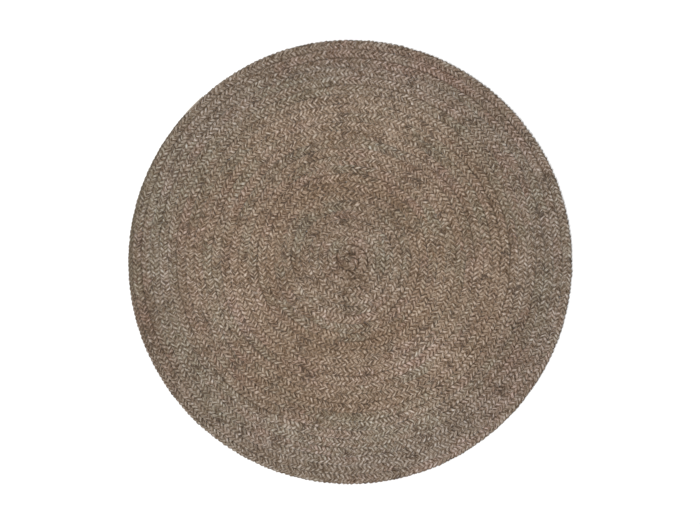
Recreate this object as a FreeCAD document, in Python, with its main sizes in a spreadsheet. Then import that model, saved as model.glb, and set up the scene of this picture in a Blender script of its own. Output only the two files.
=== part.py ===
"""Round braided jute rug: one flat three-strand braid, wound flat into a spiral and laced edge to edge.

The braid is wound clockwise as it goes outwards, seen from above. Its line is made of half-turns: the even
ones lie in front of the X axis and are struck from the rug's middle, the odd ones lie behind it and are
struck from a second centre half a braid to the right, so each half-turn runs on from the last with no step.
The last half-turn thins to nothing along its inner edge, which leaves the rim a true circle.

+Z is up, the underside is at Z = 0, and the origin is the middle of the rim's circle. Millimetres.
"""

import FreeCAD, Part

import math
import os

import Sketcher

DRIVING_SIZES = (
    # alias, value, what it is
    ("lap_pitch", "24", "from one lap of the braid to the next, which is the braid's width and its gap"),
    ("lap_count", "25", "laps of braid from the middle to the rim"),
    ("braid_thickness", "10", "height of the flat braid, whose two edges are half round"),
    ("seam_gap", "0.4", "space between one lap and the next"),
    ("lacing_diameter", "1.6", "thread that laces the laps together"),
    ("lacing_clearance", "0.2", "space between that thread and the lap on each side of it"),
    ("tail_tip_width", "3", "width of braid that is left where the binding of the tail starts"),
    ("tail_binding_length", "60", "length of the tail that is wrapped in thread"),
)

SECOND_CENTRE = "Sizes.lap_pitch / 2"
RUG_RADIUS = "Sizes.lap_pitch * Sizes.lap_count"
EDGE_RADIUS = "Sizes.braid_thickness / 2"
LACING_RADIUS = "Sizes.lacing_diameter / 2"
# The thread rests in the groove under a seam, at its clearance from the round edge of each lap.
LACING_HEIGHT = (
    f"{EDGE_RADIUS} - sqrt(({EDGE_RADIUS} + {LACING_RADIUS} + Sizes.lacing_clearance)^2"
    f" - ({EDGE_RADIUS} + Sizes.seam_gap / 2)^2)"
)
# The tail is a crescent, whose width is the pitch * (1 + cos(turn)) / 2 at each turn from its wide end.
TAIL_TURN = "acos(2 * Sizes.tail_tip_width / Sizes.lap_pitch - 1)"
BINDING_TURN = f"Sizes.tail_binding_length / ({RUG_RADIUS}) * 180 / pi * 1deg"

ORIGIN, X_AXIS, START, END, CENTRE = -1, -1, 1, 2, 3
HALF_TURN = 180
UP = FreeCAD.Vector(0, 0, 1)


def make_sizes(doc):
    """The spreadsheet of driving dimensions, one row each."""
    sheet = doc.addObject("Spreadsheet::Sheet", "Sizes")
    for row, (alias, value, meaning) in enumerate(DRIVING_SIZES, start=1):
        sheet.set(f"A{row}", alias)
        sheet.set(f"B{row}", value)
        sheet.set(f"C{row}", meaning)
        sheet.setAlias(f"B{row}", alias)
    doc.recompute()
    return sheet


def centre_of(half_turn):
    """X of the centre that a half-turn is struck from."""
    return SECOND_CENTRE if half_turn % 2 else "0"


def inner_edge(half_turn):
    """Radius of a half-turn's inner edge about its own centre, clear of the lap inside it."""
    return f"({half_turn} * Sizes.lap_pitch / 2 + Sizes.seam_gap)"


def outer_edge(half_turn):
    """Radius of a half-turn's outer edge about its own centre."""
    return f"({half_turn + 2} * Sizes.lap_pitch / 2)"


def flat(x, y):
    """A point in a sketch's own plane."""
    return FreeCAD.Vector(x, y, 0)


def bind(sketch, geometry, point, name, drawn_at, expression):
    """Holds one point of a sketch at a distance along X from the sketch's origin."""
    index = sketch.addConstraint(
        Sketcher.Constraint("DistanceX", ORIGIN, START, geometry, point, drawn_at)
    )
    sketch.renameConstraint(index, name)
    sketch.setExpression(f"Constraints.{name}", expression)


def draw_section(sketch, inner, outer, round_inside, round_outside):
    """Draws a closed section of braid between two radii, with a half-round edge where one is asked for.

    A straight side stands at its radius, and a round side's centre stands one edge radius in from it.
    """
    low, high, near, far = 0.0, 10.0, 20.0, 30.0  # rough places, which the constraints move
    bottom = sketch.addGeometry(Part.LineSegment(flat(near, low), flat(far, low)))
    if round_outside:
        circle = Part.Circle(flat(far, high / 2), UP, high / 2)
        outside = sketch.addGeometry(Part.ArcOfCircle(circle, math.radians(-90), math.radians(90)))
    else:
        outside = sketch.addGeometry(Part.LineSegment(flat(far, low), flat(far, high)))
    top = sketch.addGeometry(Part.LineSegment(flat(far, high), flat(near, high)))
    if round_inside:
        circle = Part.Circle(flat(near, high / 2), UP, high / 2)
        inside = sketch.addGeometry(Part.ArcOfCircle(circle, math.radians(90), math.radians(270)))
    else:
        inside = sketch.addGeometry(Part.LineSegment(flat(near, high), flat(near, low)))
    sketch.addConstraint(Sketcher.Constraint("Horizontal", bottom))
    sketch.addConstraint(Sketcher.Constraint("PointOnObject", bottom, START, X_AXIS))
    for side, before, after, is_round in (
        (outside, bottom, top, round_outside),
        (inside, top, bottom, round_inside),
    ):
        join = "Tangent" if is_round else "Coincident"
        sketch.addConstraint(Sketcher.Constraint(join, before, END, side, START))
        sketch.addConstraint(Sketcher.Constraint(join, side, END, after, START))
        if not is_round:
            sketch.addConstraint(Sketcher.Constraint("Vertical", side))
    if round_inside and round_outside:
        sketch.addConstraint(Sketcher.Constraint("Equal", inside, outside))
    else:
        sketch.addConstraint(Sketcher.Constraint("Horizontal", top))
    thickness = sketch.addConstraint(
        Sketcher.Constraint("DistanceY", bottom, START, top, END, high)
    )
    sketch.renameConstraint(thickness, "thickness")
    sketch.setExpression("Constraints.thickness", "Sizes.braid_thickness")
    if round_inside:
        bind(sketch, inside, CENTRE, "inner_centre", near, f"{inner} + {EDGE_RADIUS}")
    else:
        bind(sketch, inside, START, "inner_side", near, inner)
    if round_outside:
        bind(sketch, outside, CENTRE, "outer_centre", far, f"{outer} - {EDGE_RADIUS}")
    else:
        bind(sketch, outside, START, "outer_side", far, outer)


def origin_plane(body, role):
    """One of a body's own origin planes."""
    return next(f for f in body.Origin.OriginFeatures if f.Role == role)


def add_half_turn(body, name, half_turn, inner, outer, round_inside=True):
    """Adds half a turn of braid to a body: its section, swung through half a turn about its centre."""
    sketch = body.newObject("Sketcher::SketchObject", f"{name}_section")
    sketch.AttachmentSupport = [(origin_plane(body, "XZ_Plane"), "")]
    sketch.MapMode = "FlatFace"
    sketch.setExpression("AttachmentOffset.Base.x", centre_of(half_turn))
    draw_section(sketch, inner, outer, round_inside, True)
    turn = body.newObject("PartDesign::Revolution", f"{name}_turn")
    turn.Profile = sketch
    turn.ReferenceAxis = (sketch, ["V_Axis"])
    turn.Angle = HALF_TURN
    turn.Reversed = half_turn % 2 == 0  # even half-turns lie in front of the X axis
    return turn


def make_body(doc, label):
    body = doc.addObject("PartDesign::Body", label)
    body.Label = label
    return body


def make_round(doc, label, half_turns):
    """One lap of the braid, as one body."""
    body = make_body(doc, label)
    for half_turn in half_turns:
        name = f"{label}_half_{half_turn}"
        add_half_turn(body, name, half_turn, inner_edge(half_turn), outer_edge(half_turn))
    return body


def make_start_tuck(doc):
    """The folded start of the braid, which fills the half-round eye inside the first lap."""
    body = make_body(doc, "start_tuck")
    add_half_turn(body, "start_tuck", -1, "0", outer_edge(-1), round_inside=False)
    return body


def add_swing(doc, name, inner, outer, edge, centre, turn, start_turn):
    """Swings a section clockwise about a centre, from the left of the rug, as a Part::Revolution.

    edge says which side of the section is half round: the tail's inner or its outer one.
    """
    sketch = doc.addObject("Sketcher::SketchObject", f"{name}_section")
    sketch.Placement.Rotation = FreeCAD.Rotation(FreeCAD.Vector(1, 0, 0), 90)
    draw_section(sketch, inner, outer, edge == "inner", edge == "outer")
    swing = doc.addObject("Part::Revolution", name)
    swing.Source = sketch
    swing.Axis = -UP
    swing.Solid = True
    swing.setExpression("Angle", turn)
    swing.Placement.Rotation = FreeCAD.Rotation(UP, HALF_TURN)
    swing.setExpression("Placement.Rotation.Angle", f"180deg - {start_turn}")
    swing.setExpression("Placement.Base.x", centre)
    return swing


def make_tail_piece(doc, label, last, start_turn, turn):
    """A stretch of the thinning tail: what a ring inside the rim shares with a ring outside the seam.

    The rim is struck from the rug's middle and the seam from the other centre, so they close on each other.
    """
    beyond = outer_edge(last + 1)
    rim = add_swing(
        doc, f"{label}_rim", inner_edge(last - 2), outer_edge(last), "outer",
        centre_of(last), turn, start_turn,
    )
    seam = add_swing(
        doc, f"{label}_seam", inner_edge(last + 1), beyond, "inner",
        centre_of(last + 1), "180deg", "0deg",
    )
    piece = doc.addObject("Part::Common", label)
    piece.Base = rim
    piece.Tool = seam
    piece.Label = label
    return piece


def make_lacing(doc, last):
    """The lacing thread, laid along every seam from the eye to the end of the tail's binding."""
    arcs = []
    for half_turn in range(-1, last):
        arc = doc.addObject("Part::Torus", f"lacing_arc_{half_turn + 1}")
        arc.setExpression("Radius1", f"{outer_edge(half_turn)} + Sizes.seam_gap / 2")
        arc.setExpression("Radius2", LACING_RADIUS)
        turn = "180deg" if half_turn < last - 1 else f"({TAIL_TURN} + {BINDING_TURN})"
        arc.setExpression("Angle3", turn)
        arc.Placement.Rotation = FreeCAD.Rotation(UP, HALF_TURN)
        arc.setExpression("Placement.Base.x", centre_of(half_turn))
        arc.setExpression("Placement.Base.z", LACING_HEIGHT)
        behind = f"180deg - {turn}"
        arc.setExpression("Placement.Rotation.Angle", behind if half_turn % 2 else "180deg")
        arcs.append(arc)
    thread = doc.addObject("Part::MultiFuse", "lacing_thread")
    thread.Shapes = arcs
    thread.Label = "lacing_thread"
    return thread


def check(doc, pieces):
    """Stops the build if any object failed, or if a piece isn't one or more whole solids."""
    failed = [o.Name for o in doc.Objects if {"Invalid", "Error"} & set(o.State)]
    if failed:
        raise RuntimeError(f"these objects failed: {failed}")
    for piece in pieces:
        shape = piece.Shape
        if shape.isNull() or not shape.isValid() or not shape.Solids:
            raise RuntimeError(f"{piece.Label} has no valid solid")


def main():
    doc = FreeCAD.newDocument("BraidedRug")
    sizes = make_sizes(doc)
    laps = int(sizes.lap_count)
    last = 2 * laps - 2  # the last half-turn of full width, which is the last lap's only one
    pieces = [make_start_tuck(doc)]
    for lap in range(1, laps + 1):
        half_turns = [n for n in (2 * lap - 2, 2 * lap - 1) if n <= last]
        pieces.append(make_round(doc, f"round_{lap:02d}", half_turns))
    pieces.append(make_tail_piece(doc, "braid_tail", last, "0deg", TAIL_TURN))
    pieces.append(make_tail_piece(doc, "tail_binding", last, TAIL_TURN, BINDING_TURN))
    pieces.append(make_lacing(doc, last))
    doc.recompute()
    check(doc, pieces)
    os.makedirs("parts", exist_ok=True)
    for piece in pieces:
        piece.Shape.exportStep(f"parts/{piece.Label}.step")
        print(f"{piece.Label}: {len(piece.Shape.Solids)} solid, {piece.Shape.Volume / 1000:.2f} cm3")


main()
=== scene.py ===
"""Round braided jute rug: its strands, threads, materials and studio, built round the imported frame.

The braid is one flat plait of three strands. Its middle line is a spiral of half-turns, as in the frame.
The even half-turns are struck from the rug's middle, and the odd ones from a second centre half a lap to
the right. The spiral runs clockwise outwards. Every strand is placed by its length along that line, so the
strands of one lap run on into the next.
"""

import math

import bpy
import numpy as np
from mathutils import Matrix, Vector


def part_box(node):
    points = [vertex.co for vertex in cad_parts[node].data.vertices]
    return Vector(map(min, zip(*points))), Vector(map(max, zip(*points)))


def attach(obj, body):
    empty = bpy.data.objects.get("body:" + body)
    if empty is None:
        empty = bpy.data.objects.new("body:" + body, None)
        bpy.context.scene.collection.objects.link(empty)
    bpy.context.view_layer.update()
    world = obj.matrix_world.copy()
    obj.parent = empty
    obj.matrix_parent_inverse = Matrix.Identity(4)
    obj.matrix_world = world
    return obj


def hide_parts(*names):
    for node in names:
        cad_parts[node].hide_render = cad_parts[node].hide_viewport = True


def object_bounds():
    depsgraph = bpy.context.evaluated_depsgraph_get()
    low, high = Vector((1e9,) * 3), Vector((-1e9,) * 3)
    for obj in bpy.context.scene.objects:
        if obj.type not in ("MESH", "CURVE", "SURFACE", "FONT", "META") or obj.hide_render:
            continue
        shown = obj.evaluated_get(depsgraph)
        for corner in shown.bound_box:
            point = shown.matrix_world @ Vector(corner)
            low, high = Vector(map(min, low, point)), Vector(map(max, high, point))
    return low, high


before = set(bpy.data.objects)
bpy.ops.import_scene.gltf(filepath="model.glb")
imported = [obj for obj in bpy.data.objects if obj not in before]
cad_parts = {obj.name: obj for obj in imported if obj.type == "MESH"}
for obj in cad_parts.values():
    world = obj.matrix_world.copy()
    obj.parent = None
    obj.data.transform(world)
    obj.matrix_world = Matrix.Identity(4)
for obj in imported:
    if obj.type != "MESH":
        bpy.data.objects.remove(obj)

bl_info = {
    "name": "Braided Rug",
    "version": (1, 0, 0),
    "blender": (4, 5, 0),
    "location": "3D View > Sidebar > Braided Rug",
    "description": "Builds a round rug of plaited jute, its lacing and its studio",
    "category": "Object",
}

CAD_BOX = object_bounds()
BODY = "root"
LAPS = sorted(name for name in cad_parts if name.startswith("round_"))
RUG_RADIUS = (CAD_BOX[1].x - CAD_BOX[0].x) / 2
LAP_PITCH = RUG_RADIUS / len(LAPS)
THICKNESS = CAD_BOX[1].z - CAD_BOX[0].z
STRANDS = ("strand_a", "strand_b", "strand_c")
STRAND_POINTS = 12  # round a strand, so that every second one is the ridge of a yarn
THREAD_POINTS = 5
STRAIGHTNESS = 0.96  # of a strand's run across the braid: near 0 it is a wave, at 1 a zigzag
RINGS_PER_PLAIT = 14
RINGS_PER_STITCH = 10
RINGS_PER_TURN = 14  # of the tail's binding
BAKE_MAP = "OFBake"
YARN = "yarn"  # per point: across and up inside the strand, from -1 to 1, and metres along the strand
LIE = "lie"  # per point: sideways share of its facing, and its share of the way to the braid's edge
STRAND_OFFSET = 60.0  # metres between the pattern of one strand and the next, past the braid's length
SEED = 7
RUG_SHARE = 0.634  # of the picture's width
CAMERA_TURN = math.radians(96)
FLOOR_WIDTH = 24.0


# ---------------------------------------------------------------- sizes and colours that a user can change


class RugSizes(bpy.types.PropertyGroup):
    """Sizes of the plait and of its threads."""

    plait_length: bpy.props.FloatProperty(
        name="Plait length",
        description="Along the braid, from one crossing of a strand to its next crossing the same way",
        default=0.037,
        unit="LENGTH",
    )
    strand_width: bpy.props.FloatProperty(
        name="Strand width",
        description="Across a strand where it crosses the braid",
        default=0.0109,
        unit="LENGTH",
    )
    strand_thickness: bpy.props.FloatProperty(
        name="Strand thickness",
        description="Height of a strand where it crosses the braid",
        default=0.0048,
        unit="LENGTH",
    )
    twist_length: bpy.props.FloatProperty(
        name="Twist length",
        description="Along a strand, for one full turn of its yarns",
        default=0.11,
        unit="LENGTH",
    )
    looseness: bpy.props.FloatProperty(
        name="Looseness",
        description="How unevenly the plait was pulled tight, as an angle of its turning",
        default=6.0,
        subtype="ANGLE",
    )
    unevenness: bpy.props.FloatProperty(
        name="Unevenness",
        description="How far a strand strays from its even path",
        default=0.0014,
        unit="LENGTH",
    )
    wander: bpy.props.FloatProperty(
        name="Wander",
        description="How far the laps stray from the even spiral, inside the rim",
        default=0.012,
        unit="LENGTH",
    )
    thread_radius: bpy.props.FloatProperty(
        name="Thread radius",
        description="Half the thickness of the lacing thread",
        default=0.0008,
        unit="LENGTH",
    )
    stitch_length: bpy.props.FloatProperty(
        name="Stitch length",
        description="Along a seam, from one stitch of the lacing to the next on the same side",
        default=0.0253,
        unit="LENGTH",
    )


class RugColours(bpy.types.PropertyGroup):
    """Colours of the yarn and of the thread."""

    flax: bpy.props.FloatVectorProperty(
        name="Flax",
        description="Pale yarn, which most laps are plaited from",
        default=(0.290, 0.216, 0.157),
        subtype="COLOR",
        size=3,
    )
    earth: bpy.props.FloatVectorProperty(
        name="Earth",
        description="Warmer and darker yarn of the inner laps",
        default=(0.276, 0.196, 0.133),
        subtype="COLOR",
        size=3,
    )
    ash: bpy.props.FloatVectorProperty(
        name="Ash",
        description="Cooler yarn of the outer laps",
        default=(0.264, 0.210, 0.164),
        subtype="COLOR",
        size=3,
    )
    thread: bpy.props.FloatVectorProperty(
        name="Thread",
        description="Lacing and binding thread",
        default=(0.200, 0.150, 0.110),
        subtype="COLOR",
        size=3,
    )


# ---------------------------------------------------------------- node trees written as formulas


class Field:
    """A socket of a node tree that can be added, multiplied and so on like a number."""

    def __init__(self, tree, socket):
        self.tree = tree
        self.socket = socket

    def math(self, operation, *others):
        return math_node(self.tree, operation, self, *others)

    def __add__(self, other):
        return self.math("ADD", other)

    def __radd__(self, other):
        return self.math("ADD", other)

    def __sub__(self, other):
        return self.math("SUBTRACT", other)

    def __rsub__(self, other):
        return math_node(self.tree, "SUBTRACT", other, self)

    def __mul__(self, other):
        return self.math("MULTIPLY", other)

    def __rmul__(self, other):
        return self.math("MULTIPLY", other)

    def __truediv__(self, other):
        return self.math("DIVIDE", other)

    def __rtruediv__(self, other):
        return math_node(self.tree, "DIVIDE", other, self)

    def __neg__(self):
        return self.math("MULTIPLY", -1.0)


def feed(tree, socket, value):
    """Feeds a socket from a field, or sets it to a plain value."""
    if isinstance(value, Field):
        tree.links.new(value.socket, socket)
    else:
        socket.default_value = value


def math_node(tree, operation, *values):
    node = tree.nodes.new("ShaderNodeMath")
    node.operation = operation
    for socket, value in zip(node.inputs, values):
        feed(tree, socket, value)
    return Field(tree, node.outputs[0])


def sine(angle):
    return angle.math("SINE")


def cosine(angle):
    return angle.math("COSINE")


def root(value):
    return value.math("MAXIMUM", 0.0).math("SQRT")


def add_node(tree, kind, values=None, **settings):
    """Adds a node, with its settings and the values of its named inputs."""
    node = tree.nodes.new(kind)
    for name, value in settings.items():
        setattr(node, name, value)
    for name, value in (values or {}).items():
        feed(tree, node.inputs[name], value)
    return node


def vector(tree, x, y, z):
    node = add_node(tree, "ShaderNodeCombineXYZ", {"X": x, "Y": y, "Z": z})
    return Field(tree, node.outputs[0])


def parts_of(tree, field):
    """The three numbers of a vector or a colour."""
    node = add_node(tree, "ShaderNodeSeparateXYZ", {"Vector": field})
    return [Field(tree, socket) for socket in node.outputs]


def spread(tree, value, low, high):
    """0 at or below low and 1 at or above high, with a straight run between them."""
    node = add_node(
        tree, "ShaderNodeMapRange", {"Value": value, "From Min": low, "From Max": high}
    )
    return Field(tree, node.outputs["Result"])


def noise_colour(tree, place, detail=0.0):
    """Three smooth random numbers at a place, each centred on 0 and mostly within 0.5 of it."""
    node = add_node(tree, "ShaderNodeTexNoise", {"Vector": place, "Scale": 1.0, "Detail": detail})
    return [part - 0.5 for part in parts_of(tree, Field(tree, node.outputs["Color"]))]


def new_geometry_tree(name, sizes):
    """A Geometry Nodes tree with named inputs. Returns the tree and its inputs as fields."""
    tree = bpy.data.node_groups.new(name, "GeometryNodeTree")
    tree.interface.new_socket("Geometry", in_out="OUTPUT", socket_type="NodeSocketGeometry")
    for size_name, kind in sizes:
        tree.interface.new_socket(size_name, in_out="INPUT", socket_type=f"NodeSocket{kind}")
    group_input = tree.nodes.new("NodeGroupInput")
    return tree, {size_name: Field(tree, group_input.outputs[size_name]) for size_name, _ in sizes}


def end_geometry_tree(tree, geometry, material):
    """Smooth faces, real instances and the material, as the tree's last nodes."""
    smooth = add_node(tree, "GeometryNodeSetShadeSmooth", {"Geometry": geometry})
    real = add_node(
        tree, "GeometryNodeRealizeInstances", {"Geometry": Field(tree, smooth.outputs[0])}
    )
    finish = add_node(
        tree,
        "GeometryNodeSetMaterial",
        {"Geometry": Field(tree, real.outputs[0]), "Material": material},
    )
    output = tree.nodes.new("NodeGroupOutput")
    tree.links.new(finish.outputs[0], output.inputs["Geometry"])


def tube_start(tree, rings, points):
    """A straight closed tube to be bent.

    Returns its geometry and, per point, its place across, its place up and its share of the way along.
    """
    tube = add_node(
        tree,
        "GeometryNodeMeshCylinder",
        {"Vertices": points, "Side Segments": rings, "Radius": 1.0, "Depth": 1.0},
        fill_type="NGON",
    )
    place = Field(tree, tree.nodes.new("GeometryNodeInputPosition").outputs[0])
    across, up, height = parts_of(tree, place)
    return Field(tree, tube.outputs["Mesh"]), across, up, height + 0.5


def tube_end(tree, tube, stored, place, material):
    """Stores what the materials need to know of each point, moves it to its place and ends the tree."""
    for name, value in stored.items():
        node = add_node(
            tree,
            "GeometryNodeStoreNamedAttribute",
            {"Geometry": tube, "Name": name, "Value": value},
            data_type="FLOAT_VECTOR",
            domain="POINT",
        )
        tube = Field(tree, node.outputs[0])
    moved = add_node(tree, "GeometryNodeSetPosition", {"Geometry": tube, "Position": place})
    end_geometry_tree(tree, Field(tree, moved.outputs[0]), material)


# ---------------------------------------------------------------- the braid's line


def half_turn_unit():
    """Length of the first half-turn; the one after n others is n + 1 times as long."""
    return math.pi * LAP_PITCH / 2


def length_after(half_turns):
    """Length of braid in so many half-turns from the start."""
    return half_turn_unit() * half_turns * (half_turns + 1) / 2


FULL_HALF_TURNS = 2 * len(LAPS) - 1  # the last lap is one half-turn, and then the tail
TAIL_START = length_after(FULL_HALF_TURNS)


def angle_of_tail(node, corner):
    """How far round from the tail's wide end a corner of a tail node lies."""
    low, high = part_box(node)
    x = high.x if corner == "far" else low.x
    return math.pi - math.acos(max(-1.0, min(1.0, x / RUG_RADIUS)))


class Line:
    """The place of a point on the braid's line, worked out by nodes from its length along the braid."""

    def __init__(self, tree, length):
        unit = half_turn_unit()
        forward = length.math("MAXIMUM", 0.0)
        self.backward = length.math("MINIMUM", 0.0)
        turns = ((root(forward * (8 / unit) + 1.0) - 1.0) * 0.5).math("FLOOR")
        done = turns * (turns + 1.0) * (unit / 2)
        radius = (turns + 1.0) * (LAP_PITCH / 2)
        swing = (forward - done) / radius
        odd = turns.math("MODULO", 2.0)
        tail = turns.math("GREATER_THAN", FULL_HALF_TURNS - 0.5)
        crescent = (cosine(swing) + 1.0) * 0.5
        tuck = root(1.0 - (self.backward / (LAP_PITCH / 2)).math("POWER", 2.0))
        self.width = (1.0 - tail * (1.0 - crescent)) * tuck.math("MAXIMUM", 0.15)
        self.centre = odd * (1.0 - tail) * (LAP_PITCH / 2)
        self.radius = radius - tail * crescent * (LAP_PITCH / 2)
        angle = odd * math.pi - swing
        self.cosine = cosine(angle)
        self.sine = sine(angle)

    def place(self, along, out, up):
        """The point that lies along, out from and above the braid's line."""
        reach = self.radius + out
        along = along + self.backward
        x = self.centre + reach * self.cosine + along * self.sine
        y = reach * self.sine - along * self.cosine
        return x, y, up


def wander(tree, x, y, z, amount):
    """Lets whole laps stray smoothly inside the rim, which stays round."""
    share = (x * x + y * y) * (1 / RUG_RADIUS**2)
    slow_x, slow_y, _ = noise_colour(tree, vector(tree, x * 4.0, y * 4.0, float(SEED)))
    quick_x, quick_y, _ = noise_colour(tree, vector(tree, x * 16.0, y * 16.0, float(SEED)))
    press_x, press_y, _ = noise_colour(tree, vector(tree, x * 48.0, y * 48.0, float(SEED)))
    # The first laps are wound round a pin, so they and the rim stay true.
    core = 1.0 - spread(tree, share, 0.002, 0.06)
    ease = (1.0 - share * share - core * 0.8).math("MAXIMUM", 0.0) * amount * 2.0
    pressed = (1.0 - share * share * 0.6 - core * 0.5) * 0.0050
    x = x + (slow_x + quick_x * 0.3) * ease + press_x * pressed
    y = y + (slow_y + quick_y * 0.3) * ease + press_y * pressed
    return vector(tree, x, y, z)


def strand_tree():
    """One length of one strand: a tube of ridged yarns, laid over and under along the plait."""
    tree, size = new_geometry_tree(
        "Jute strand",
        (
            ("Starts at", "Float"),
            ("Ends at", "Float"),
            ("Rings", "Int"),
            ("Strand", "Float"),
            ("Plait length", "Float"),
            ("Strand width", "Float"),
            ("Strand thickness", "Float"),
            ("Twist length", "Float"),
            ("Looseness", "Float"),
            ("Unevenness", "Float"),
            ("Wander", "Float"),
            ("Material", "Material"),
        ),
    )
    tube, across, up, share = tube_start(tree, size["Rings"], STRAND_POINTS)
    length = size["Starts at"] + share * (size["Ends at"] - size["Starts at"])
    line = Line(tree, length)
    stray = noise_colour(
        tree, vector(tree, length * 55.0, size["Strand"] * 5.3, float(SEED)), detail=1.0
    )
    turn_rate = 2 * math.pi / size["Plait length"]
    loose, slack, _ = noise_colour(tree, vector(tree, length * 9.0, 1.7, float(SEED)), detail=2.0)
    phase = length * turn_rate + size["Strand"] * (2 * math.pi / 3) + loose * size["Looseness"]
    turning = sine(phase).math("POWER", 4.0)  # 1 where the strand turns back at an edge of the braid
    # Nearly straight runs from edge to edge, with a round turn at each end.
    bend = sine(phase) * STRAIGHTNESS
    swing = bend.math("ARCSINE") / math.asin(STRAIGHTNESS)
    swing_slope = cosine(phase) * (STRAIGHTNESS / math.asin(STRAIGHTNESS)) / root(1.0 - bend * bend)

    outer = spread(tree, line.radius, LAP_PITCH * 1.5, LAP_PITCH * 4.0)
    plump = 1.14 - outer * 0.14  # the tight first laps need fuller strands to leave no gaps
    width = size["Strand width"] * (1.0 + turning * 0.05) * (1.0 + stray[2] * 0.30) * line.width * plump
    slim = line.width.math("POWER", 0.4)
    thickness = size["Strand thickness"] * (1.0 + turning * 0.4) * slim
    reach = LAP_PITCH * (1.205 + outer * 0.065 + slack * 0.10 * outer)
    sway = (reach - size["Strand width"] * 1.15) * 0.5 * line.width
    rise = (THICKNESS * 0.97 - size["Strand thickness"] * 1.1) * 0.5 * slim
    uneven = size["Unevenness"] * (0.4 + outer * 0.6)
    out = sway * swing + stray[0] * uneven * 1.3
    height = THICKNESS / 2 + rise * sine(phase * 2.0) + stray[1] * uneven

    # The strand's own axes: along it, across it and up, from the slopes of its path, then banked so that it
    # lies flat on the strand that it crosses.
    out_slope = sway * turn_rate * swing_slope
    up_slope = rise * 2.0 * turn_rate * cosine(phase * 2.0)
    flat_run = root(out_slope * out_slope + 1.0)
    run = root(flat_run * flat_run + up_slope * up_slope)
    side = (-out_slope / flat_run, 1.0 / flat_run, 0.0)
    above = (
        -up_slope / (run * flat_run),
        -(out_slope * up_slope) / (run * flat_run),
        flat_run / run,
    )
    bank = cosine(phase) * 0.22
    bank_cosine, bank_sine = cosine(bank), sine(bank)

    around = up.math("ARCTAN2", across)
    turned = around + length * (2 * math.pi) / size["Twist length"] + size["Strand"]
    ridge = 0.93 + cosine(around * (STRAND_POINTS / 2)) * 0.07
    reach_side = width * 0.5 * cosine(turned) * ridge
    reach_up = thickness * 0.5 * sine(turned) * ridge
    by_side = reach_side * bank_cosine - reach_up * bank_sine
    by_above = reach_side * bank_sine + reach_up * bank_cosine
    offset = [by_side * s + by_above * a for s, a in zip(side, above)]

    low = (height + offset[2]).math("SMOOTH_MAX", 0.0, 0.0012)
    x, y, z = line.place(offset[0], out + offset[1], low)
    place = wander(tree, x, y, z, size["Wander"])
    stored = {
        YARN: vector(tree, across, up, length + size["Strand"] * STRAND_OFFSET),
        LIE: vector(tree, cosine(turned), (out + offset[1]) / (LAP_PITCH / 2), 0.0),
    }
    tube_end(tree, tube, stored, place, size["Material"])
    return tree


def lacing_tree():
    """The lacing thread: a thin tube that crosses from lap to lap along the groove under each seam."""
    tree, size = new_geometry_tree(
        "Lacing thread",
        (
            ("Starts at", "Float"),
            ("Ends at", "Float"),
            ("Rings", "Int"),
            ("Thread radius", "Float"),
            ("Stitch length", "Float"),
            ("Stitch reach", "Float"),
            ("Wander", "Float"),
            ("Material", "Material"),
        ),
    )
    tube, across, up, share = tube_start(tree, size["Rings"], THREAD_POINTS)
    length = size["Starts at"] + share * (size["Ends at"] - size["Starts at"])
    line = Line(tree, length)
    phase = length * (2 * math.pi) / size["Stitch length"]
    crossing = sine(phase)
    stray = noise_colour(tree, vector(tree, length * 30.0, 3.1, float(SEED)))
    out = LAP_PITCH / 2 + crossing * size["Stitch reach"] * (1.0 + stray[0])
    # Deepest in the groove at mid crossing, and just clear of the floor where it bites into a lap.
    height = size["Thread radius"] * 1.1 + cosine(phase).math("POWER", 2.0) * THICKNESS * 0.11
    slope = size["Stitch reach"] * (2 * math.pi) / size["Stitch length"] * cosine(phase)
    run = root(slope * slope + 1.0)
    side = across * size["Thread radius"]
    x, y, z = line.place(-slope / run * side, out + side / run, height + up * size["Thread radius"])
    place = wander(tree, x, y, z, size["Wander"])
    tube_end(tree, tube, {YARN: vector(tree, across, up, length)}, place, size["Material"])
    return tree


def binding_tree():
    """Thread wound round the end of the tail, as one coil."""
    tree, size = new_geometry_tree(
        "Tail binding",
        (
            ("Starts at", "Float"),
            ("Ends at", "Float"),
            ("Rings", "Int"),
            ("Turns", "Float"),
            ("Thread radius", "Float"),
            ("Material", "Material"),
        ),
    )
    tube, across, up, share = tube_start(tree, size["Rings"], THREAD_POINTS)
    length = size["Starts at"] + share * (size["Ends at"] - size["Starts at"])
    line = Line(tree, length)
    winding = share * size["Turns"] * (2 * math.pi)
    half_width = line.width * (LAP_PITCH / 2)
    half_height = line.width.math("POWER", 0.4) * (THICKNESS * 0.42)
    reach = 1.0 + across * size["Thread radius"] / half_height
    out = half_width * cosine(winding) + across * size["Thread radius"] * cosine(winding)
    height = THICKNESS / 2 + half_height * sine(winding) * reach
    x, y, z = line.place(-(up * size["Thread radius"]), out, height)
    stored = {YARN: vector(tree, across, up, length)}
    tube_end(tree, tube, stored, vector(tree, x, y, z), size["Material"])
    return tree


# ---------------------------------------------------------------- from a tree to a finished piece


def plain_mesh(name, tree, values):
    """Runs a Geometry Nodes tree and returns what it makes as a plain mesh."""
    carrier = bpy.data.objects.new(f"{name}_carrier", bpy.data.meshes.new(f"{name}_carrier"))
    bpy.context.scene.collection.objects.link(carrier)
    modifier = carrier.modifiers.new("shape", "NODES")
    modifier.node_group = tree
    sockets = {
        item.name: item.identifier
        for item in tree.interface.items_tree
        if item.item_type == "SOCKET" and item.in_out == "INPUT"
    }
    for value_name, value in values.items():
        modifier[sockets[value_name]] = value
    depsgraph = bpy.context.evaluated_depsgraph_get()
    mesh = bpy.data.meshes.new_from_object(carrier.evaluated_get(depsgraph), depsgraph=depsgraph)
    mesh.name = name
    bpy.data.objects.remove(carrier)
    return mesh


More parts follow.
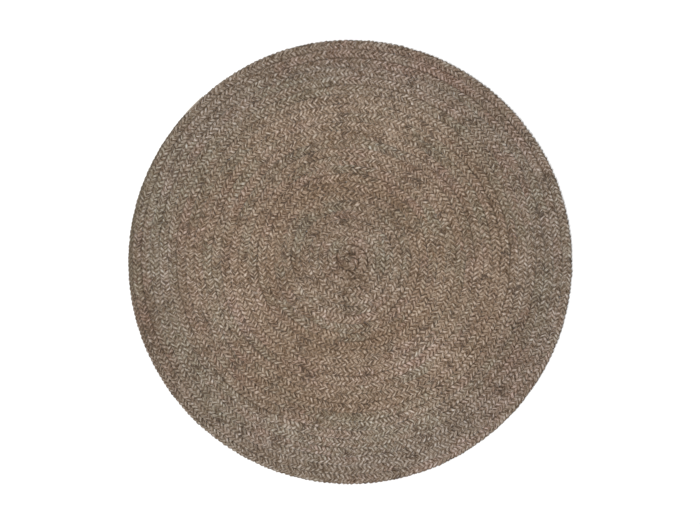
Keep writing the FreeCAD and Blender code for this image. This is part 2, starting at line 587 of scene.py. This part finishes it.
def lay_out_map(mesh, rings, girth):
    """Gives a tube a UV map of its skin, cut into rows that fill a square, for textures to be drawn on.

    girth is the distance round the tube as a share of its length.
    """
    rows = max(1, round(math.sqrt(1 / girth)))
    rings_in_row = math.ceil(rings / rows)
    yarn = np.zeros(len(mesh.vertices) * 3, np.float32)
    mesh.attributes[YARN].data.foreach_get("vector", yarn)
    across, up, length = yarn.reshape(-1, 3).T.astype(float)
    ring = (length - length.min()) / (length.max() - length.min()) * rings
    around = (np.arctan2(up, across) / (2 * np.pi)) % 1.0
    corner_point = np.zeros(len(mesh.loops), np.int32)
    mesh.loops.foreach_get("vertex_index", corner_point)
    first = np.zeros(len(mesh.polygons), np.int32)
    mesh.polygons.foreach_get("loop_start", first)
    count = np.zeros(len(mesh.polygons), np.int32)
    mesh.polygons.foreach_get("loop_total", count)
    face = np.repeat(np.arange(len(first)), count)
    corner_ring = ring[corner_point]
    corner_around = around[corner_point]
    lowest_ring = np.minimum.reduceat(corner_ring, first)[face]
    least = np.minimum.reduceat(corner_around, first)[face]
    most = np.maximum.reduceat(corner_around, first)[face]
    wraps = (most - least > 0.5) & (corner_around < 0.25)
    corner_around = np.where(wraps, corner_around + 1.0, corner_around)
    row = np.floor((lowest_ring + 0.01) / rings_in_row)
    u = (corner_ring - row * rings_in_row) / rings_in_row
    v = (row + 0.03 + corner_around * 0.94) / (rows + 0.25)
    is_cap = count[face] > 4
    cap_top = rows / (rows + 0.25)
    u = np.where(is_cap, 0.25 + corner_around * 0.5, u)
    cap_height = (1 - cap_top) * (0.5 + 0.4 * np.cos(corner_around * 2 * np.pi))
    v = np.where(is_cap, cap_top + cap_height, v)
    layer = mesh.uv_layers.new(name=BAKE_MAP)
    layer.data.foreach_set("uv", np.stack([u, v], 1).astype(np.float32).ravel())


def finish_piece(name, mesh, nodes):
    """Makes a mesh a piece that rides with the rug and stands for its nodes."""
    piece = bpy.data.objects.new(name, mesh)
    bpy.context.scene.collection.objects.link(piece)
    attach(piece, BODY)
    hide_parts(*nodes)
    return piece


def make_strands(stem, tree, sizes, nodes, start, end, material):
    """The three strands of one stretch of braid, from start to end along it."""
    rings = max(6, round((end - start) / (sizes.plait_length / RINGS_PER_PLAIT)))
    for number, strand in enumerate(STRANDS):
        name = f"{stem}_{strand}"
        values = {
            "Starts at": start,
            "Ends at": end,
            "Rings": rings,
            "Strand": float(number),
            "Plait length": sizes.plait_length,
            "Strand width": sizes.strand_width,
            "Strand thickness": sizes.strand_thickness,
            "Twist length": sizes.twist_length,
            "Looseness": sizes.looseness,
            "Unevenness": sizes.unevenness,
            "Wander": sizes.wander,
            "Material": material,
        }
        mesh = plain_mesh(name, tree, values)
        girth = 2.4 * sizes.strand_width / ((end - start) * 1.25)
        lay_out_map(mesh, rings, min(1.0, girth))
        finish_piece(name, mesh, nodes)


# ---------------------------------------------------------------- materials


def new_material(name):
    """An empty material with a Principled BSDF. Returns the material, its tree and the shader."""
    material = bpy.data.materials.new(name)
    material.use_nodes = True
    tree = material.node_tree
    shader = next(n for n in tree.nodes if n.type == "BSDF_PRINCIPLED")
    return material, tree, shader


def mix_colour(tree, share, first, second, blend="MIX"):
    """Mixes two colours, each a field or a plain colour, by a share."""
    node = tree.nodes.new("ShaderNodeMix")
    node.data_type = "RGBA"
    node.blend_type = blend
    feed(tree, node.inputs["Factor"], share)
    for socket, value in ((node.inputs[6], first), (node.inputs[7], second)):
        feed(tree, socket, value if isinstance(value, Field) else (*value, 1.0))
    return Field(tree, node.outputs[2])


def noise(tree, place, detail=2.0, roughness=0.5):
    node = add_node(
        tree,
        "ShaderNodeTexNoise",
        {"Vector": place, "Scale": 1.0, "Detail": detail, "Roughness": roughness},
    )
    return Field(tree, node.outputs["Fac"])


def ramp(tree, share, stops):
    """A ramp between (share, colour) stops."""
    node = tree.nodes.new("ShaderNodeValToRGB")
    feed(tree, node.inputs["Fac"], share)
    elements = node.color_ramp.elements
    while len(elements) < len(stops):
        elements.new(1.0)
    for element, (position, colour) in zip(elements, stops):
        element.position = position
        element.color = (*colour, 1.0)
    return Field(tree, node.outputs["Color"])


def stored_place(tree, name):
    """The three numbers stored under a name: YARN or LIE."""
    node = add_node(tree, "ShaderNodeAttribute", attribute_name=name, attribute_type="GEOMETRY")
    return parts_of(tree, Field(tree, node.outputs["Vector"]))


def tint(colour, factor):
    """A plain colour, lighter or darker."""
    return tuple(c * factor for c in colour)


def jute_material(name, colours):
    """Undyed jute, with lots of yarn that change from lap to lap, patches, fibres and dark flecks, and with
    painted shade and a painted grey sheen.
    """
    material, tree, shader = new_material(name)
    place = Field(tree, tree.nodes.new("ShaderNodeTexCoord").outputs["Object"])
    x, y, z = parts_of(tree, place)
    across, up, along = stored_place(tree, YARN)
    lap = root(x * x + y * y) * (1 / RUG_RADIUS)

    lots = ramp(
        tree,
        lap,
        (
            (0.00, tint(colours.flax, 0.84)),
            (0.12, tint(colours.flax, 0.98)),
            (0.24, colours.flax),
            (0.35, tint(colours.earth, 0.99)),
            (0.52, tint(colours.flax, 1.09)),
            (0.68, tint(colours.flax, 1.07)),
            (0.88, colours.ash),
            (1.00, colours.ash),
        ),
    )
    # Lots of yarn follow the braid, and their changes are much longer along it than across.
    spun = along.math("MODULO", STRAND_OFFSET)
    angle_x, angle_y = x / (lap + 0.02), y / (lap + 0.02)
    patch = noise_colour(tree, vector(tree, angle_x * 1.6, angle_y * 1.6, lap * 6.0), detail=2.0)
    streak = noise_colour(tree, vector(tree, spun * 7.0, 3.0, 5.0), detail=2.0)
    lot = noise_colour(tree, vector(tree, along * 20.0, 8.0, 5.0), detail=1.0)
    pink, grey = tuple(colours.flax), tuple(colours.ash)
    rosy = (pink[0] * 1.06, pink[1] * 0.93, pink[2] * 1.02)
    mossy = (grey[0] * 0.92, grey[1] * 1.03, grey[2] * 0.97)
    rosy_share = spread(tree, patch[0] + streak[0] + lot[0] * 0.6, 0.0, 0.30)
    mossy_share = spread(tree, patch[1] + streak[1] + lot[1] * 0.6, 0.0, 0.30)
    colour = mix_colour(tree, rosy_share * 0.6, lots, rosy)
    colour = mix_colour(tree, mossy_share * 0.6, colour, mossy)

    # Each lobe of the plait is a little lighter or darker, and so is each fibre.
    lobe = noise(tree, vector(tree, across * 0.3, up * 0.3, along * 85.0), detail=1.0)
    slub = noise(tree, vector(tree, across * 1.1, up * 1.1, along * 190.0), detail=1.0)
    fibre = noise(tree, vector(tree, across * 7.0, up * 7.0, along * 110.0), detail=2.0, roughness=0.65)
    around = up.math("ARCTAN2", across)
    # Painted shade: the grooves between the yarn ridges are darker in the colour.
    groove = (cosine(around * (STRAND_POINTS / 2)) * -0.5 + 0.5).math("POWER", 3.0)
    twine = sine(around * 30.0 + along * (2 * math.pi / 0.0035))
    side, edge, _ = stored_place(tree, LIE)
    # Painted shade: deep between the two faces of the braid, towards mid-height, the yarn is darker.
    depth = spread(tree, (z * (2 / THICKNESS) - 1.0).math("ABSOLUTE"), -0.1, 0.94)
    # Painted shade darkens the seams of the first laps, in the middle of the rug, in patches.
    middle = 1.0 - spread(tree, lap, 0.07, 0.13)
    seam_side = spread(tree, edge.math("ABSOLUTE"), 0.60, 0.95) * (1.0 - middle)
    # Painted shade: yarn that faces sideways, on the sides of a strand, is darker.
    flank_shade = spread(tree, side.math("ABSOLUTE"), 0.40, 0.76) * (1.0 - seam_side * 0.8)
    lit = depth + (1.0 - depth) * seam_side * 0.5
    # This factor is painted shade: darker towards mid-height and on the sides of the strands.
    painted_shade = (0.58 + lit * 0.39) * (1.04 - flank_shade * 0.35)
    seam = spread(tree, edge.math("ABSOLUTE"), 0.72, 0.98)
    seam_shade_patches = spread(tree, noise(tree, vector(tree, x * 20.0, y * 20.0, 1.0), detail=0.0), 0.40, 0.62)
    # Elsewhere a seam shows painted shade only here and there, as a faint arc.
    arc = noise(tree, vector(tree, angle_x * 1.1, angle_y * 1.1, lap * 22.0), detail=0.0)
    faint = spread(tree, arc, 0.50, 0.66) * (1.0 - middle)
    painted_shade = painted_shade * (1.0 - seam * (middle * seam_shade_patches * 0.5 + faint * 0.34))
    blotch = noise(tree, vector(tree, x * 26.0, y * 26.0, 4.0), detail=2.0)
    broad = noise(tree, vector(tree, x * 3.0, y * 3.0, 6.0), detail=1.0)
    age = (broad - 0.5) * 0.35 + patch[2] * 0.55 + streak[2] * 0.22 + lot[2] * 0.10
    age = age - spread(tree, blotch, 0.60, 0.75) * 0.12
    spin = (lobe - 0.5) * 0.2 + (slub - 0.5) * 3.1 + (fibre - 0.5) * 1.4
    spin = spin + twine * 0.02 - groove * 0.22 + 0.07
    tone = ((1.0 + spin) * painted_shade * (1.0 + age)).math("MAXIMUM", 0.12)
    # Painted highlight: the lighter the tone, the greyer it turns, like a sheen on the tops, and the darker
    # parts in painted shade keep the brown.
    shade = vector(tree, tone, tone.math("POWER", 1.22), tone.math("POWER", 1.50))
    colour = mix_colour(tree, 1.0, colour, shade, blend="MULTIPLY")

    fleck = noise(tree, vector(tree, across * 1.7 + 9.0, up * 1.7, along * 95.0), detail=1.0)
    stain = noise(tree, vector(tree, x * 22.0, y * 22.0, 9.0), detail=1.0)
    dark = spread(tree, fleck + stain * 0.45, 0.80, 0.92) * 0.85
    colour = mix_colour(tree, dark, colour, (0.055, 0.034, 0.022))

    tree.links.new(colour.socket, shader.inputs["Base Color"])
    feed(tree, shader.inputs["Roughness"], 0.80 + fibre * 0.2)
    shader.inputs["Specular IOR Level"].default_value = 0.25
    shader.inputs["Sheen Weight"].default_value = 0.12
    shader.inputs["Sheen Roughness"].default_value = 0.6
    shader.inputs["Sheen Tint"].default_value = (0.9, 0.85, 0.78, 1.0)
    bump = add_node(
        tree,
        "ShaderNodeBump",
        {"Strength": 0.8, "Distance": 0.0007, "Height": fibre * 0.9 + twine * 0.12 - groove * 0.4},
    )
    tree.links.new(bump.outputs["Normal"], shader.inputs["Normal"])
    return material


def thread_material(name, colours):
    """Twisted jute thread: two plies, which show as slanting grooves."""
    material, tree, shader = new_material(name)
    across, up, along = stored_place(tree, YARN)
    fibre = noise(tree, vector(tree, across * 3.0, up * 3.0, along * 400.0), detail=3.0)
    ply = sine(up.math("ARCTAN2", across) * 2.0 + along * (2 * math.pi / 0.004))
    tone = 0.62 + fibre * 0.6 + ply * 0.12
    colour = mix_colour(
        tree, 1.0, tuple(colours.thread), vector(tree, tone, tone, tone), blend="MULTIPLY"
    )
    tree.links.new(colour.socket, shader.inputs["Base Color"])
    feed(tree, shader.inputs["Roughness"], 0.78 + fibre * 0.2)
    shader.inputs["Specular IOR Level"].default_value = 0.25
    shader.inputs["Sheen Weight"].default_value = 0.1
    bump = add_node(
        tree,
        "ShaderNodeBump",
        {"Strength": 0.6, "Distance": 0.0003, "Height": fibre * 0.6 + ply * 0.4},
    )
    tree.links.new(bump.outputs["Normal"], shader.inputs["Normal"])
    return material


def floor_material():
    """Plain pale floor."""
    material, _, shader = new_material("floor")
    shader.inputs["Base Color"].default_value = (0.93, 0.93, 0.93, 1.0)
    shader.inputs["Roughness"].default_value = 0.9
    shader.inputs["Specular IOR Level"].default_value = 0.1
    return material


def shared(name, make, *given):
    """A material or tree that several operators use, made the first time it is asked for."""
    found = bpy.data.materials.get(name) or bpy.data.node_groups.get(name)
    return found or make(*given)


# ---------------------------------------------------------------- operators


class RugOperator:
    """What the operators share: their sizes and the materials."""

    bl_options = {"REGISTER", "UNDO"}

    def jute(self, context):
        return shared("jute", jute_material, "jute", context.scene.rug_colours)

    def thread(self, context):
        return shared("jute_thread", thread_material, "jute_thread", context.scene.rug_colours)


class RUG_OT_laps(RugOperator, bpy.types.Operator):
    """Plait the laps of the braid, three strands each"""

    bl_idname = "rug.laps"
    bl_label = "Laps"

    def execute(self, context):
        tree = shared("Jute strand", strand_tree)
        for lap, node in enumerate(LAPS):
            start = length_after(2 * lap)
            end = length_after(min(2 * lap + 2, FULL_HALF_TURNS))
            make_strands(node, tree, context.scene.rug_sizes, [node], start, end, self.jute(context))
        return {"FINISHED"}


class RUG_OT_start(RugOperator, bpy.types.Operator):
    """Tuck the start of the braid into the eye of the first lap"""

    bl_idname = "rug.start"
    bl_label = "Tucked start"

    def execute(self, context):
        tree = shared("Jute strand", strand_tree)
        start = -LAP_PITCH / 2 * 0.95
        sizes = context.scene.rug_sizes
        make_strands("start_tuck", tree, sizes, ["start_tuck"], start, 0.0, self.jute(context))
        return {"FINISHED"}


class RUG_OT_tail(RugOperator, bpy.types.Operator):
    """Run the thinning tail out along the rim and bind its end with thread"""

    bl_idname = "rug.tail"
    bl_label = "Tail and binding"

    def execute(self, context):
        sizes = context.scene.rug_sizes
        tree = shared("Jute strand", strand_tree)
        bound_from = TAIL_START + RUG_RADIUS * angle_of_tail("tail_binding", "near")
        bound_to = TAIL_START + RUG_RADIUS * angle_of_tail("tail_binding", "far")
        make_strands("braid_tail", tree, sizes, ["braid_tail"], TAIL_START, bound_to, self.jute(context))
        turns = round((bound_to - bound_from) / (sizes.thread_radius * 2.1))
        values = {
            "Starts at": bound_from,
            "Ends at": bound_to - sizes.thread_radius * 2,
            "Rings": turns * RINGS_PER_TURN,
            "Turns": float(turns),
            "Thread radius": sizes.thread_radius,
            "Material": self.thread(context),
        }
        mesh = plain_mesh("tail_binding_thread", shared("Tail binding", binding_tree), values)
        girth = 2 * math.pi * sizes.thread_radius / (turns * 0.02)
        lay_out_map(mesh, turns * RINGS_PER_TURN, girth)
        finish_piece("tail_binding_thread", mesh, ["tail_binding"])
        return {"FINISHED"}


class RUG_OT_lacing(RugOperator, bpy.types.Operator):
    """Lace the laps together along every seam"""

    bl_idname = "rug.lacing"
    bl_label = "Lacing"

    def execute(self, context):
        sizes = context.scene.rug_sizes
        # The last seam runs under the tail, as far as the end of the tail's binding.
        last = length_after(FULL_HALF_TURNS - 2)
        end = last + (RUG_RADIUS - LAP_PITCH) * angle_of_tail("tail_binding", "far")
        rings = round(end / (sizes.stitch_length / RINGS_PER_STITCH))
        values = {
            "Starts at": 0.0,
            "Ends at": end,
            "Rings": rings,
            "Thread radius": sizes.thread_radius,
            "Stitch length": sizes.stitch_length,
            "Stitch reach": LAP_PITCH * 0.11,
            "Wander": sizes.wander,
            "Material": self.thread(context),
        }
        mesh = plain_mesh("lacing_thread", shared("Lacing thread", lacing_tree), values)
        lay_out_map(mesh, rings, 2 * math.pi * sizes.thread_radius / (end * 1.2))
        finish_piece("lacing_stitches", mesh, ["lacing_thread"])
        return {"FINISHED"}


class RUG_OT_stage(bpy.types.Operator):
    """Lay the pale floor, hang the soft lights and set up the camera straight above the rug"""

    bl_idname = "rug.stage"
    bl_label = "Stage"

    def execute(self, context):
        scene = context.scene
        half = FLOOR_WIDTH / 2
        mesh = bpy.data.meshes.new("floor")
        corners = [(-half, -half, 0), (half, -half, 0), (half, half, 0), (-half, half, 0)]
        mesh.from_pydata(corners, [], [(0, 1, 2, 3)])
        mesh.materials.append(floor_material())
        floor = bpy.data.objects.new("floor", mesh)
        scene.collection.objects.link(floor)

        world = bpy.data.worlds.new("studio")
        world.use_nodes = True
        background = world.node_tree.nodes["Background"]
        background.inputs["Color"].default_value = (1.0, 1.0, 1.0, 1.0)
        background.inputs["Strength"].default_value = 0.22
        scene.world = world

        add_lamp(scene, "soft_box", (-1.2, 2.4, 5.6), 3.4, 360.0)
        add_lamp(scene, "fill_box", (2.6, -1.8, 5.6), 4.0, 150.0)

        data = bpy.data.cameras.new("camera")
        data.sensor_width = 36.0
        data.lens = 85.0
        camera = bpy.data.objects.new("camera", data)
        distance = 2 * RUG_RADIUS / RUG_SHARE * data.lens / data.sensor_width
        camera.location = (0.0, 0.0, THICKNESS + distance)
        camera.rotation_euler = (0.0, 0.0, -CAMERA_TURN)
        scene.collection.objects.link(camera)
        scene.camera = camera
        scene.view_settings.view_transform = "Standard"
        return {"FINISHED"}


def add_lamp(scene, name, place, size, power):
    """A square soft light, aimed at the middle of the rug."""
    data = bpy.data.lights.new(name, "AREA")
    data.shape = "SQUARE"
    data.size = size
    data.energy = power
    lamp = bpy.data.objects.new(name, data)
    lamp.location = place
    lamp.rotation_euler = (-Vector(place)).to_track_quat("-Z", "Y").to_euler()
    scene.collection.objects.link(lamp)


class RUG_PT_panel(bpy.types.Panel):
    """Lists the rug's sizes, its colours and its operators"""

    bl_idname = "RUG_PT_panel"
    bl_label = "Braided Rug"
    bl_space_type = "VIEW_3D"
    bl_region_type = "UI"
    bl_category = "Braided Rug"

    def draw(self, context):
        for group in (context.scene.rug_sizes, context.scene.rug_colours):
            box = self.layout.box()
            for name in group.bl_rna.properties.keys():
                if name not in ("rna_type", "name"):
                    box.prop(group, name)
        for operator in OPERATORS:
            self.layout.operator(operator.bl_idname)


OPERATORS = (RUG_OT_laps, RUG_OT_start, RUG_OT_tail, RUG_OT_lacing, RUG_OT_stage)
CLASSES = (RugSizes, RugColours, *OPERATORS, RUG_PT_panel)


def register():
    for cls in CLASSES:
        bpy.utils.register_class(cls)
    bpy.types.Scene.rug_sizes = bpy.props.PointerProperty(type=RugSizes)
    bpy.types.Scene.rug_colours = bpy.props.PointerProperty(type=RugColours)


def unregister():
    del bpy.types.Scene.rug_colours
    del bpy.types.Scene.rug_sizes
    for cls in reversed(CLASSES):
        bpy.utils.unregister_class(cls)


def main():
    register()
    bpy.ops.rug.laps()
    bpy.ops.rug.start()
    bpy.ops.rug.tail()
    bpy.ops.rug.lacing()
    bpy.ops.rug.stage()


if __name__ == "__main__":
    main()
